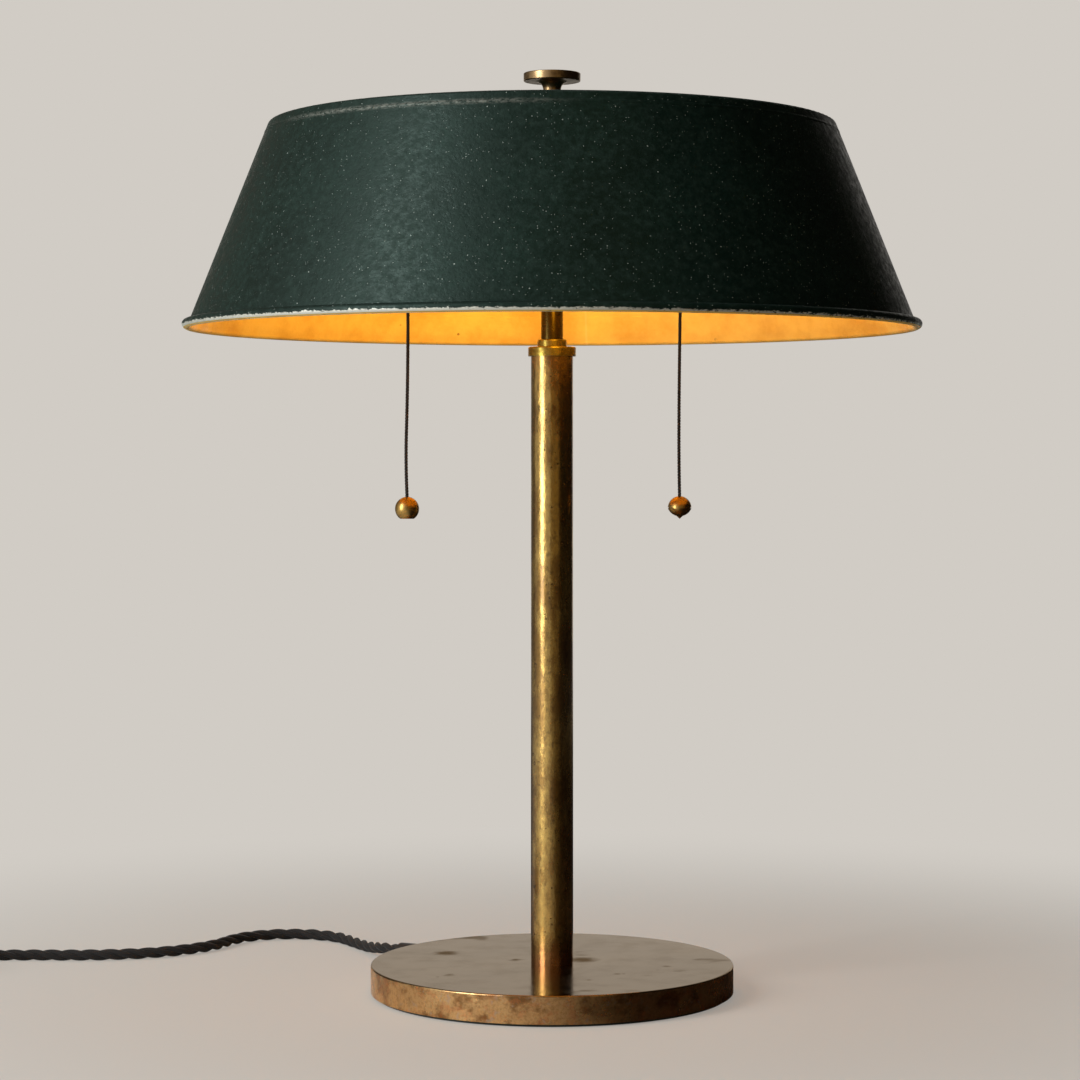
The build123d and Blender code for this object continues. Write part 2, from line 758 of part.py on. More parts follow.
def corner(face, x, z):
    return face.vertices().sort_by_distance((x, z, 0))[0]


lid_outer = fillet(corner(lid_outer, skirt_out - lean, shade_top), shade_shoulder_r)
lid_outer = fillet(corner(lid_outer, skirt_out, skirt_z), cap_edge_r)
lid_inner = fillet(corner(lid_inner, inner_corner_x, plate_low), shade_shoulder_r - cap_sheet)
shade_cap = revolve(Plane.XZ * (lid_outer - lid_inner), Axis.Z)
parts["shade_cap"] = shade_cap - rod(shade_hole_d, plate_low, shade_top)

# ---- shade rod and seat ----
washer_bottom = shade_top
washer_top = washer_bottom + finial_washer_t
stud_top = washer_top + stud_h
seat_low = plate_low - seat_t
stud_low = lid_nut_low - stud_tail
parts["shade_rod"] = rod(shade_stud_d, stud_low, stud_top) + rod(shade_rod_d, lid_top, plate_low)
seat = rod(seat_d, seat_low, plate_low) + rod(seat_hub_d, seat_low - seat_hub_h, seat_low)
parts["shade_seat"] = seat - rod(shade_rod_d + 2 * slip, seat_low - seat_hub_h, plate_low)

# ---- washer and finial ----
parts["finial_washer"] = tube(finial_washer_d, shade_stud_d + 2 * running, washer_bottom, washer_top)
disc_top = washer_top + finial_h
disc_low = disc_top - finial_disc_t
neck_r = finial_neck_d / 2
outline = make_face(
    Polyline(
        (0, washer_top),
        (finial_foot_d / 2, washer_top),
        (finial_foot_d / 2, washer_top + finial_foot_h),
        (neck_r, washer_top + finial_foot_h),
        (neck_r, disc_low),
        (finial_disc_d / 2, disc_low),
        (finial_disc_d / 2, disc_top),
        (0, disc_top),
        close=True,
    )
)
outline = fillet(corner(outline, neck_r, disc_low), finial_flare_r)
outline = fillet(corner(outline, neck_r, washer_top + finial_foot_h), finial_foot_r)
outline = fillet(
    [corner(outline, finial_disc_d / 2, disc_top), corner(outline, finial_disc_d / 2, disc_low)],
    finial_edge_r,
)
finial = revolve(Plane.XZ * outline, Axis.Z)
parts["finial_knob"] = finial - rod(
    shade_stud_d + 2 * running, washer_top, washer_top + finial_bore_depth
)

# ---- gland and mains cord ----
wall_x = base_d / 2
gland_end = wall_x + gland_l
gland_outline = [
    (0, wall_x - gland_nest),
    (gland_neck_d / 2, wall_x - gland_nest),
    (gland_neck_d / 2, wall_x + slip),
    (gland_collar_d / 2, wall_x + slip),
    (gland_collar_d / 2, wall_x + gland_collar_t),
    (gland_collar_d / 2 - gland_collar_edge, wall_x + gland_collar_t + gland_collar_edge),
    (gland_tip_d / 2, gland_end),
    (0, gland_end),
]
gland = Rot(0, 90, 0) * turned(*gland_outline)
gland = Pos(0, 0, exit_z) * gland - across(flex_d + 2 * slip, wall_x - gland_nest, gland_end, exit_z)
parts["cord_gland"] = outward(gland)

exit_x = math.cos(math.radians(exit_angle))
exit_y = math.sin(math.radians(exit_angle))
leave = gland_end + gland_straight
route = [
    (flex_end_x * exit_x, flex_end_x * exit_y, exit_z),
    (leave * exit_x, leave * exit_y, exit_z),
    *flex_route,
]
coil_outer_r = coil_inner_r + (coil_turns_across - 1) * coil_pitch
coil_top_y = coil_y + coil_outer_r
route.append((coil_x + coil_lead_in, coil_top_y, flex_z))
mains, length, radii = cord(route, flex_d)
print(f"mains cord: {length:.0f} mm, radii {[round(r) for r in radii]}")
parts["mains_cord"] = mains

coil_h = coil_layers * coil_pitch
ring = tube(2 * coil_outer_r + coil_pitch, 2 * coil_inner_r - coil_pitch, 0, coil_h)
ring = chamfer(ring.edges().filter_by(GeomType.CIRCLE), coil_edge)
parts["cord_coil"] = Pos(coil_x, coil_y, 0) * ring
turn_lengths = [2 * math.pi * (coil_inner_r + i * coil_pitch) for i in range(coil_turns_across)]
coil_length = coil_layers * sum(turn_lengths)

tail_start = (coil_x - coil_outer_r, coil_y - coil_lead_out, coil_h - coil_pitch / 2)
tail_points = [tail_start] + [(coil_x + x, coil_y + y, z) for x, y, z in tail_route]
tail, tail_length, tail_radii = cord(tail_points, flex_d)
parts["mains_cord_tail"] = tail
print(f"  coil {coil_length:.0f} mm, tail {tail_length:.0f} mm, radii {[round(r) for r in tail_radii]}")
print(f"  whole cord {length + coil_length + tail_length:.0f} mm")

# ---- plug ----
last, before = Vector(*tail_points[-1]), Vector(*tail_points[-2])
heading = Vector(last.X - before.X, last.Y - before.Y, 0).normalized()
plug_at = Location(Plane(origin=(last.X, last.Y, plug_z), x_dir=heading, z_dir=(0, 0, 1)))
grip = Pos(plug_neck_l, 0, 0) * Box(plug_l, plug_w, plug_h, align=(Align.MIN, Align.CENTER, Align.CENTER))
grip = fillet(grip.edges().filter_by(Axis.X), plug_corner_r)
neck_end = RectangleRounded(plug_w - plug_taper_w, plug_h - plug_taper_h, plug_corner_r)
neck = loft([Plane.YZ * Circle(plug_neck_d / 2), Plane.YZ.offset(plug_neck_l) * neck_end])
parts["plug_body"] = plug_at * (grip + neck)
blades = [
    plug_at
    * Pos(plug_neck_l + plug_l, y, 0)
    * Box(blade_l, blade_t, blade_w, align=(Align.MIN, Align.CENTER, Align.CENTER))
    for y in (-blade_pitch / 2, blade_pitch / 2)
]
parts["plug_blades"] = Compound(blades)

# ---- output ----
os.makedirs("parts", exist_ok=True)
for name, part in parts.items():
    export_step(part, f"parts/{name}.step")
print(f"{len(parts)} nodes; top {disc_top:.1f} mm, rim bottom {rim_low:.1f} mm, arms {arms_at:.1f} mm")
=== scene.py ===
"""The looks of the two-light bouillotte lamp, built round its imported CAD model. Metres, +Z up."""

import math

import bmesh
import bpy
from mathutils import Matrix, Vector

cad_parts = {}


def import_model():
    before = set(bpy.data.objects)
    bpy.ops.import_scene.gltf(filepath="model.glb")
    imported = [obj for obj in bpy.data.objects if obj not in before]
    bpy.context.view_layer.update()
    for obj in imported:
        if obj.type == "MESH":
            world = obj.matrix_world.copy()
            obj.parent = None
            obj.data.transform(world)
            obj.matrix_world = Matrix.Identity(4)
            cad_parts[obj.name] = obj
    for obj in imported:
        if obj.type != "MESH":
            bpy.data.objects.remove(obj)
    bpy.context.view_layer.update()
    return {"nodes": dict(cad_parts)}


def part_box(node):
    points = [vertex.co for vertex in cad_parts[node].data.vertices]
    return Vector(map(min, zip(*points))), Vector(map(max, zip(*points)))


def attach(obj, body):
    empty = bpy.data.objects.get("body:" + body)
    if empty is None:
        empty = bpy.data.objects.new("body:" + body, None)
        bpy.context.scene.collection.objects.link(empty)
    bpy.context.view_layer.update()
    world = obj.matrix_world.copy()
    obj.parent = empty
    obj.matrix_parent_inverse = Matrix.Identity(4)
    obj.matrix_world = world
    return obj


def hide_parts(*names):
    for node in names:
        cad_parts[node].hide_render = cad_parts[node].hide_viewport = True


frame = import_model()
nodes = frame["nodes"]


# ---- colours ----
def rgb(red, green, blue):
    """A screen (sRGB) colour, 0 to 255, in the linear values that shaders take."""
    return tuple((level / 255 / 12.92) if level <= 10 else ((level / 255 + 0.055) / 1.055) ** 2.4
                 for level in (red, green, blue))


WALL = rgb(209, 204, 197)
GREEN_PAINT = rgb(20, 39, 34)
GREEN_DEEP = rgb(10, 25, 21)
GREEN_WORN = rgb(46, 62, 56)
GREEN_SHEEN = (0.7, 1.0, 0.9)  # the tint of what the paint mirrors
DUST = rgb(200, 212, 206)
# bare metal of the chipped rim, also used as the painted highlight along the crease under the cap
BARE_METAL_AND_HIGHLIGHT = rgb(214, 216, 206)
CREAM = rgb(226, 198, 112)
CREAM_AGED = rgb(204, 166, 80)
CREAM_SPOT = rgb(92, 62, 26)
BRASS = rgb(184, 152, 82)
BRASS_BROWN = rgb(128, 97, 45)
BRASS_DARK = rgb(66, 44, 18)
BRASS_GOLD = rgb(150, 134, 62)
BRASS_POLISHED = rgb(170, 138, 78)
BRASS_FINIAL = rgb(158, 132, 96)
BRASS_PLAIN = rgb(214, 184, 120)
COPPER = rgb(184, 118, 78)
BRONZE = rgb(78, 66, 30)
BASE_GREY = rgb(122, 106, 86)
BASE_STAIN = rgb(84, 70, 54)
BASE_GOLD = rgb(188, 156, 108)
BASE_BROWN = rgb(124, 92, 58)
BASE_BLOOM = rgb(168, 152, 132)
TOP_SHEEN = (0.9, 0.83, 0.74)  # how much of the light comes back at a shallow angle
STAIN_SHEEN = (0.42, 0.33, 0.24)
STEEL = rgb(170, 170, 168)
IRON = rgb(52, 50, 48)
FELT = rgb(30, 44, 34)
FIBRE = rgb(150, 122, 84)
PHENOLIC = rgb(38, 30, 25)
FLEX = rgb(10, 9, 10)
# the flex's raised weave crossings: partly the fibres' own lighter tone, partly a painted highlight
FLEX_RIDGE_HIGHLIGHT = rgb(28, 26, 27)
BRAID = rgb(12, 11, 12)
# the pull cord's raised weave crossings: partly the fibres' own lighter tone, partly a painted highlight
BRAID_RIDGE_HIGHLIGHT = rgb(62, 58, 56)
PLUG = rgb(30, 27, 26)
RUBBER = rgb(40, 38, 37)
OPAL = rgb(250, 240, 220)
# the floor as brass and paint mirror it: painted shade in the reflection
MIRRORED_FLOOR = rgb(40, 22, 12)
DARK_ROOM = rgb(22, 14, 9)
WARM_ROOM = rgb(132, 112, 76)
DIM_WALL = rgb(112, 106, 96)
BULB_GLOW = (1.0, 0.62, 0.24)
BULB_LIGHT = (1.0, 0.5, 0.05)


# ---- shader kit ----
class Finish:
    """A node material round one Principled shader, with short ways to work procedural detail into it."""

    def __init__(self, name, color, roughness, metallic=0.0, **sockets):
        self.data = bpy.data.materials.new(name)
        self.data.use_nodes = True
        self.tree = self.data.node_tree
        self.shader = self.tree.nodes["Principled BSDF"]
        self.shader.inputs["Base Color"].default_value = (*color, 1)
        self.shader.inputs["Roughness"].default_value = roughness
        self.shader.inputs["Metallic"].default_value = metallic
        for socket, value in sockets.items():
            self.shader.inputs[socket.replace("_", " ")].default_value = value
        where = self.tree.nodes.new("ShaderNodeTexCoord")
        self.place = where.outputs["Object"]
        self.facing = where.outputs["Normal"]
        self.wrap = where.outputs["UV"]

    def feed(self, socket, value):
        """Links a socket to another's output, or sets it to a number, a vector or a colour."""
        if isinstance(value, bpy.types.NodeSocket):
            self.tree.links.new(value, socket)
        elif isinstance(value, (int, float)) or len(value) == len(socket.default_value):
            socket.default_value = value
        else:
            socket.default_value = (*value, 1)

    def math(self, operation, a, b=0.0):
        node = self.tree.nodes.new("ShaderNodeMath")
        node.operation = operation
        self.feed(node.inputs[0], a)
        self.feed(node.inputs[1], b)
        return node.outputs[0]

    def vector(self, operation, a, b=(0, 0, 0)):
        node = self.tree.nodes.new("ShaderNodeVectorMath")
        node.operation = operation
        self.feed(node.inputs[0], a)
        self.feed(node.inputs[1], b)
        return node.outputs["Value" if operation in ("DOT_PRODUCT", "LENGTH", "DISTANCE") else "Vector"]

    def part(self, vector, axis):
        """One of a vector's X, Y and Z."""
        node = self.tree.nodes.new("ShaderNodeSeparateXYZ")
        self.feed(node.inputs[0], vector)
        return node.outputs[axis]

    def noise(self, size, stretch=(1, 1, 1), detail=4.0, rough=0.55):
        """Cloudy noise from 0 to 1 whose patches are about size metres, longer where stretch is."""
        node = self.tree.nodes.new("ShaderNodeTexNoise")
        node.inputs["Scale"].default_value = 1.0
        node.inputs["Detail"].default_value = detail
        node.inputs["Roughness"].default_value = rough
        grain = tuple(1 / (size * s) for s in stretch)
        self.feed(node.inputs["Vector"], self.vector("MULTIPLY", self.place, grain))
        return node.outputs["Fac"]

    def specks(self, spacing, size, share):
        """Scattered dots, 1 inside them, with a largest radius of size metres.

        There is about one cell for each spacing metres, and share of the cells hold a dot.
        """
        node = self.tree.nodes.new("ShaderNodeTexVoronoi")
        node.inputs["Scale"].default_value = 1.0
        self.feed(node.inputs["Vector"], self.vector("MULTIPLY", self.place, (1 / spacing,) * 3))
        luck = self.part(node.outputs["Color"], "X")
        radius = self.math("MULTIPLY", self.math("SUBTRACT", luck, 1 - share), size / spacing / share)
        return self.math("LESS_THAN", node.outputs["Distance"], radius)

    def band(self, value, low, high, start=0.0, end=1.0):
        """Start below low, end above high, and an eased change from one to the other between them."""
        node = self.tree.nodes.new("ShaderNodeMapRange")
        node.interpolation_type = "SMOOTHSTEP"
        self.feed(node.inputs["Value"], value)
        self.feed(node.inputs["From Min"], low)
        self.feed(node.inputs["From Max"], high)
        self.feed(node.inputs["To Min"], start)
        self.feed(node.inputs["To Max"], end)
        return node.outputs[0]

    def mix(self, share, a, b):
        """Colour a, turning into b as share goes from 0 to 1."""
        node = self.tree.nodes.new("ShaderNodeMix")
        node.data_type = "RGBA"
        self.feed(node.inputs["Factor"], share)
        # by number, because the sockets for plain numbers and vectors have the same names
        self.feed(node.inputs[6], a)
        self.feed(node.inputs[7], b)
        return node.outputs[2]

    def paint(self, color):
        self.feed(self.shader.inputs["Base Color"], color)

    def rough(self, value):
        self.feed(self.shader.inputs["Roughness"], value)

    def metal(self, value):
        self.feed(self.shader.inputs["Metallic"], value)

    def bump(self, *heights):
        """Each height is (0 to 1 pattern, depth in metres)."""
        for pattern, depth in heights:
            node = self.tree.nodes.new("ShaderNodeBump")
            node.inputs["Distance"].default_value = depth
            self.feed(node.inputs["Height"], pattern)
            before = self.shader.inputs["Normal"].links
            if before:
                self.feed(node.inputs["Normal"], before[0].from_socket)
            self.feed(self.shader.inputs["Normal"], node.outputs["Normal"])


def wear(node_names, finish):
    """Gives CAD nodes a finish."""
    for name in node_names:
        mesh = nodes[name].data
        mesh.materials.clear()
        mesh.materials.append(finish.data)


# ---- camera ----
PICTURE = 1080  # pixels across the photograph
FOCAL = 2871  # pixels
STEM_AT = 552.05  # the pixel column of the stem's axis
HORIZON_AT = 464  # the pixel row of the camera's level
CAMERA_AWAY = 1.5626  # from the stem's axis
CAMERA_UP = 0.2876
camera_data = bpy.data.cameras.new("camera")
camera_data.sensor_width = 36  # mm
camera_data.lens = camera_data.sensor_width * FOCAL / PICTURE
camera_data.shift_x = (PICTURE / 2 - STEM_AT) / PICTURE
camera_data.shift_y = (HORIZON_AT - PICTURE / 2) / PICTURE
camera = bpy.data.objects.new("camera", camera_data)
camera.location = (0, -CAMERA_AWAY, CAMERA_UP)
camera.rotation_euler = (math.radians(90), 0, 0)
bpy.context.scene.collection.objects.link(camera)
bpy.context.scene.camera = camera


# ---- brass ----
def aged_brass(name, spots=0.4):
    """Old lacquered brass: brown clouds, dark flecks and a faint drawn grain along Z."""
    finish = Finish(name, BRASS, roughness=0.3, metallic=1.0, Coat_Weight=0.6, Coat_Roughness=0.16)
    clouds = finish.noise(0.013, stretch=(1, 1, 2.5), detail=7, rough=0.68)
    fine = finish.noise(0.0026, stretch=(1, 1, 1.3), detail=5, rough=0.65)
    color = finish.mix(finish.band(clouds, 0.4, 0.6), BRASS, BRASS_BROWN)
    color = finish.mix(finish.band(fine, 0.5, 0.7, 0, 0.5), color, BRASS_DARK)
    small = finish.specks(spacing=0.0032, size=0.0007, share=spots)
    large = finish.specks(spacing=0.009, size=0.0017, share=spots / 2)
    ragged = finish.band(finish.noise(0.0016), 0.38, 0.56)
    pits = finish.math("MULTIPLY", finish.math("MAXIMUM", small, large), ragged)
    finish.paint(finish.mix(finish.math("MULTIPLY", pits, 0.85), color, BRASS_DARK))
    satin = finish.band(clouds, 0.3, 0.7, 0.2, 0.32)
    finish.rough(finish.math("ADD", satin, finish.math("MULTIPLY", pits, 0.2)))
    drawn = finish.noise(0.0007, stretch=(1, 1, 30), detail=2)
    uneven = finish.noise(0.0026, stretch=(1, 1, 2), detail=5)
    finish.bump((drawn, 0.000006), (uneven, 0.00018))
    return finish


FOOT_LOW = 0.022  # the stem's copper-coloured foot fades from here
FOOT_HIGH = 0.04  # to here


def stem_brass():
    """The stem's brass, with its copper-coloured foot."""
    finish = aged_brass("stem brass", spots=0.8)
    color = finish.shader.inputs["Base Color"].links[0].from_socket
    height = finish.part(finish.place, "Z")
    uneven = finish.math("MULTIPLY", finish.noise(0.012), 0.012)
    foot = finish.band(finish.math("ADD", height, uneven), FOOT_LOW, FOOT_HIGH, 0.6, 0)
    finish.paint(finish.mix(foot, color, COPPER))
    return finish


SMUDGES = [  # (x, y, radius) on the base's top
    (-0.0588, 0.0302, 0.010),
    (-0.0547, -0.0383, 0.005),
    (0.0194, -0.0531, 0.0034),
    (0.0346, -0.0353, 0.0036),
    (0.0165, 0.0085, 0.012),
    (-0.0200, 0.0080, 0.006),
    (0.062, -0.012, 0.004),
]


def base_brass():
    """The base: a smooth grey top with stains, and a side mottled in brass, copper and brown."""
    finish = Finish("base brass", BASE_GREY, roughness=0.2, metallic=1.0)
    side = finish.band(finish.part(finish.facing, "Z"), 0.5, 0.9, 1, 0)

    # the top
    clouds = finish.noise(0.05, detail=5)
    top = finish.mix(finish.band(clouds, 0.3, 0.7, 0, 0.35), BASE_GREY, BASE_STAIN)
    stains = finish.band(finish.noise(0.03, stretch=(1.6, 1, 1), detail=3), 0.66, 0.76, 0, 0.7)
    ragged = finish.math("MULTIPLY", finish.noise(0.004, detail=5), 0.007)
    for x, y, radius in SMUDGES:
        away = finish.vector("DISTANCE", finish.vector("MULTIPLY", finish.place, (1, 1, 0)), (x, y, 0))
        smudge = finish.band(finish.math("ADD", away, ragged), radius + 0.003, radius / 2, 0, 0.95)
        stains = finish.math("MAXIMUM", stains, smudge)
    stains = finish.math("MAXIMUM", stains, finish.specks(spacing=0.02, size=0.0012, share=0.3))
    top = finish.mix(stains, top, BASE_STAIN)
    finish.feed(finish.shader.inputs["Specular Tint"], finish.mix(stains, TOP_SHEEN, STAIN_SHEEN))

    # the side
    patches = finish.noise(0.012, stretch=(1, 1, 0.8), detail=6, rough=0.6)
    rust = finish.noise(0.007, stretch=(1, 1, 0.7), detail=5, rough=0.6)
    edge = finish.mix(finish.band(patches, 0.46, 0.66), BASE_GOLD, BASE_BROWN)
    edge = finish.mix(finish.band(rust, 0.52, 0.62, 0, 0.35), edge, COPPER)
    edge = finish.mix(finish.band(finish.noise(0.0014, detail=5), 0.45, 0.65, 0, 0.35), edge, BASE_BROWN)
    edge = finish.mix(finish.band(finish.noise(0.004, detail=5), 0.58, 0.7, 0, 0.7), edge, BASE_BLOOM)
    pits = finish.math("MULTIPLY", finish.specks(spacing=0.005, size=0.0008, share=0.4),
                       finish.band(finish.noise(0.003), 0.4, 0.6))
    edge = finish.mix(finish.math("MULTIPLY", pits, 0.8), edge, BRASS_DARK)

    finish.paint(finish.mix(side, top, edge))
    polish = finish.band(finish.noise(0.018), 0.35, 0.7, 0.12, 0.22)
    finish.rough(finish.math("ADD", polish, finish.math("MULTIPLY", side, 0.1)))
    grain = finish.math("MULTIPLY", finish.noise(0.0012, detail=3), side)
    brushed = finish.noise(0.0009, stretch=(8, 1, 1), detail=2)
    finish.bump((grain, 0.00003), (brushed, 0.000008))
    return finish


def polished_brass(name, color, roughness, tarnish=0.7):
    """Handled brass that stays bright, with small tarnished clouds."""
    finish = Finish(name, color, roughness, metallic=1.0)
    clouds = finish.noise(0.004, detail=5)
    finish.paint(finish.mix(finish.band(clouds, 0.45, 0.75, 0, tarnish), color, BRASS_DARK))
    finish.rough(finish.band(clouds, 0.35, 0.7, roughness, roughness + 0.1))
    finish.bump((finish.noise(0.0012, detail=3), 0.000004))
    return finish


def plain_brass():
    """The small parts' brass, with a fine dark grain."""
    finish = Finish("plain brass", BRASS_PLAIN, roughness=0.3, metallic=1.0)
    grain = finish.noise(0.0012, detail=2)
    finish.paint(finish.mix(finish.band(grain, 0.4, 0.7, 0, 0.5), BRASS_PLAIN, BRASS_DARK))
    finish.bump((grain, 0.00015))
    return finish


# ---- shade ----
SHADE_R = 0.2
RIM_LOW = 0.3602  # the rolled edge's underside
BEAD_R = 0.0025  # of the rolled edge
BEAD_X = SHADE_R - BEAD_R  # from the stem's axis to the middle of the rolled edge
BEAD_Z = RIM_LOW + BEAD_R
CONE_LEAN = 0.4  # the rise of the cone's normal for its reach outward
SEAM_ANGLE = math.radians(83.8)  # where the seam inside is, turned from +X
SKIRT_X = 0.1557  # the cone's outer face under the cap's skirt
SKIRT_Z = 0.46605  # the lower edge of the cap's skirt


def shade_paint():
    """Bottle-green paint outside, cream inside, and a rolled edge whose paint is chipped away underneath."""
    finish = Finish("shade paint", GREEN_PAINT, roughness=0.42, Specular_IOR_Level=0.25,
                    Specular_Tint=(*GREEN_SHEEN, 1))
    flat = finish.vector("MULTIPLY", finish.place, (1, 1, 0))
    reach = finish.vector("LENGTH", flat)
    outward = finish.vector("NORMALIZE", flat)
    height = finish.part(finish.place, "Z")
    spin = finish.math("ARCTAN2", finish.part(finish.place, "Y"), finish.part(finish.place, "X"))

    # where it is: inside the shade, or on the rolled edge
    slope = finish.vector("ADD", outward, (0, 0, CONE_LEAN))
    inside = finish.math("LESS_THAN", finish.vector("DOT_PRODUCT", slope, finish.facing), 0.0)
    across = finish.math("POWER", finish.math("SUBTRACT", reach, BEAD_X), 2.0)
    along = finish.math("POWER", finish.math("SUBTRACT", height, BEAD_Z), 2.0)
    from_bead = finish.math("SQRT", finish.math("ADD", across, along))
    bead = finish.math("LESS_THAN", from_bead, BEAD_R + 0.00015)
    inner = finish.vector("ADD", outward, (0, 0, 0.8))
    inward = finish.math("LESS_THAN", finish.vector("DOT_PRODUCT", inner, finish.facing), 0.1)
    inside = finish.mix(bead, inside, inward)

    # the green outside
    clouds = finish.noise(0.045, detail=6, rough=0.6)
    mottle = finish.noise(0.0034, stretch=(1.3, 1.3, 1), detail=5, rough=0.65)
    green = finish.mix(finish.band(clouds, 0.3, 0.7), GREEN_DEEP, GREEN_PAINT)
    green = finish.mix(finish.band(mottle, 0.42, 0.75, 0, 0.4), green, GREEN_WORN)
    leathery = finish.noise(0.0022, detail=5, rough=0.7)
    green = finish.mix(finish.band(leathery, 0.44, 0.62, 0.7, 0), green, GREEN_DEEP)
    fine = finish.specks(spacing=0.0014, size=0.00022, share=0.6)
    coarse = finish.specks(spacing=0.0052, size=0.00036, share=0.6)
    dust = finish.math("MAXIMUM", fine, coarse)
    dust = finish.math("MULTIPLY", dust, finish.band(finish.noise(0.006), 0.3, 0.6, 0.1, 0.9))
    green = finish.mix(dust, green, DUST)

    # the chipped edge, barest at its left, and the crease under the cap's skirt at the left front, partly
    # worn and partly a painted highlight on the side facing the window
    from_left_front = finish.math("COSINE", finish.math("ADD", spin, math.radians(120)))
    from_left = finish.math("COSINE", finish.math("ADD", spin, math.radians(150)))
    chips = finish.noise(0.0016, stretch=(1.5, 1.5, 0.7), detail=6, rough=0.8)
    worn = finish.math("ADD", finish.noise(0.012, detail=3), finish.band(from_left, -0.6, 1.0, 0, 0.6))
    low = finish.band(height, BEAD_Z + 0.001, BEAD_Z - 0.0016, -0.3, 0.06)
    bare_and_highlight = finish.math("ADD", finish.math("ADD", chips, low), finish.math("MULTIPLY", worn, 0.25))
    bare_and_highlight = finish.math("MULTIPLY", finish.band(bare_and_highlight, 0.66, 0.7), bead)
    # painted highlight mixed with wear: a pale line under the skirt, only on the side facing the window
    crease_wear_and_highlight = finish.math("ABSOLUTE", finish.math("SUBTRACT", height, SKIRT_Z))
    crease_wear_and_highlight = finish.math("MULTIPLY", finish.band(crease_wear_and_highlight, 0.002, 0),
                         finish.band(from_left_front, 0.8, 1.0, 0, 0.25))
    bare_and_highlight = finish.math("MAXIMUM", bare_and_highlight, finish.math("MULTIPLY", crease_wear_and_highlight, finish.band(chips, 0.4, 0.6)))
    bare_and_highlight = finish.math("MULTIPLY", bare_and_highlight, finish.math("SUBTRACT", 1.0, inside))
    green = finish.mix(bare_and_highlight, green, BARE_METAL_AND_HIGHLIGHT)

    # the cream inside
    stains = finish.noise(0.03, detail=6, rough=0.65)
    cream = finish.mix(finish.band(stains, 0.35, 0.7), CREAM, CREAM_AGED)
    foxing = finish.math("MULTIPLY", finish.specks(spacing=0.011, size=0.0012, share=0.6),
                         finish.band(finish.noise(0.004), 0.35, 0.55))
    ragged = finish.math("ADD", height, finish.math("MULTIPLY", stains, -0.006))
    low_edge = finish.band(ragged, RIM_LOW + 0.006, RIM_LOW)
    foxing = finish.math("MAXIMUM", foxing, finish.math("MULTIPLY", low_edge, 0.12))
    cream = finish.mix(finish.math("MULTIPLY", foxing, 0.7), cream, CREAM_SPOT)
    seam = finish.math("ABSOLUTE", finish.math("SUBTRACT", spin, SEAM_ANGLE))
    cream = finish.mix(finish.band(seam, 0.0045, 0.002, 0, 0.12), cream, OPAL)

    finish.paint(finish.mix(inside, green, cream))
    finish.metal(finish.math("MULTIPLY", bare_and_highlight, 0.5))
    finish.rough(finish.band(mottle, 0.35, 0.65, 0.32, 0.56))
    peel = finish.noise(0.0016, detail=4)
    finish.bump((peel, 0.00014), (mottle, 0.00016))
    return finish


# ---- insides ----
def moulded(name, color, roughness):
    """Moulded plastic, fibre or rubber, with a faint grain and handling marks."""
    finish = Finish(name, color, roughness)
    marks = finish.noise(0.01, detail=5)
    finish.paint(finish.mix(finish.band(marks, 0.4, 0.8, 0, 0.35), color, RUBBER))
    finish.rough(finish.band(marks, 0.3, 0.7, roughness - 0.08, roughness + 0.1))
    finish.bump((finish.noise(0.0006, detail=2), 0.00002))
    return finish


def steel():
    finish = Finish("zinc steel", STEEL, roughness=0.38, metallic=1.0)
    bloom = finish.noise(0.004, detail=5)
    finish.paint(finish.mix(finish.band(bloom, 0.4, 0.7), STEEL, BASE_STAIN))
    finish.bump((bloom, 0.00003))
    return finish


def cast_iron():
    finish = Finish("cast iron", IRON, roughness=0.75, metallic=0.6)
    sand = finish.noise(0.0018, detail=6, rough=0.7)
    finish.paint(finish.mix(finish.band(sand, 0.4, 0.7), IRON, BASE_STAIN))
    finish.bump((sand, 0.0003))
    return finish


def felt():
    finish = Finish("felt", FELT, roughness=0.95, Sheen_Weight=0.6)
    fibres = finish.noise(0.0012, stretch=(2.5, 1, 1), detail=6, rough=0.75)
    finish.paint(finish.mix(finish.band(fibres, 0.35, 0.7), FELT, RUBBER))
    finish.bump((fibres, 0.0004))
    return finish


def opal_glass():
    """A lit opal bulb, its glass a little cloudy."""
    finish = Finish("opal glass", OPAL, roughness=0.2, Coat_Weight=0.5, Emission_Strength=1.2)
    finish.paint(finish.mix(finish.band(finish.noise(0.01), 0.4, 0.6, 0, 0.1), OPAL, CREAM))
    finish.shader.inputs["Emission Color"].default_value = (*BULB_GLOW, 1)
    return finish


# ---- textile ----
def braid(name, dark, light, pitch, depth):
    """Textile sleeving along a strand: its UV map runs round it, 0 to 1, and along it in metres. The weave's
    raised crossings are painted lighter, partly the fibres' own tone and partly a painted highlight.
    """
    finish = Finish(name, dark, roughness=0.85, Sheen_Weight=0.12, Sheen_Roughness=0.4)
    turn = finish.math("MULTIPLY", finish.part(finish.wrap, "X"), 2 * math.pi)
    turn = finish.math("MULTIPLY", turn, 3.0)
    run = finish.math("MULTIPLY", finish.part(finish.wrap, "Y"), 2 * math.pi / pitch)
    one = finish.math("SINE", finish.math("ADD", run, turn))
    other = finish.math("SINE", finish.math("SUBTRACT", run, turn))
    weave = finish.band(finish.math("MULTIPLY", one, other), -1.0, 1.0)
    fuzz = finish.noise(0.0005, detail=3)
    # painted highlight on the raised crossings, partly the fibres' own lighter tone
    shade = finish.math("MULTIPLY", weave, finish.band(fuzz, 0.3, 0.7, 0.3, 1))
    finish.paint(finish.mix(shade, dark, light))
    finish.bump((weave, depth), (fuzz, depth / 2))
    return finish


# ---- lines of cord ----
STRANDS = 3  # of every cord


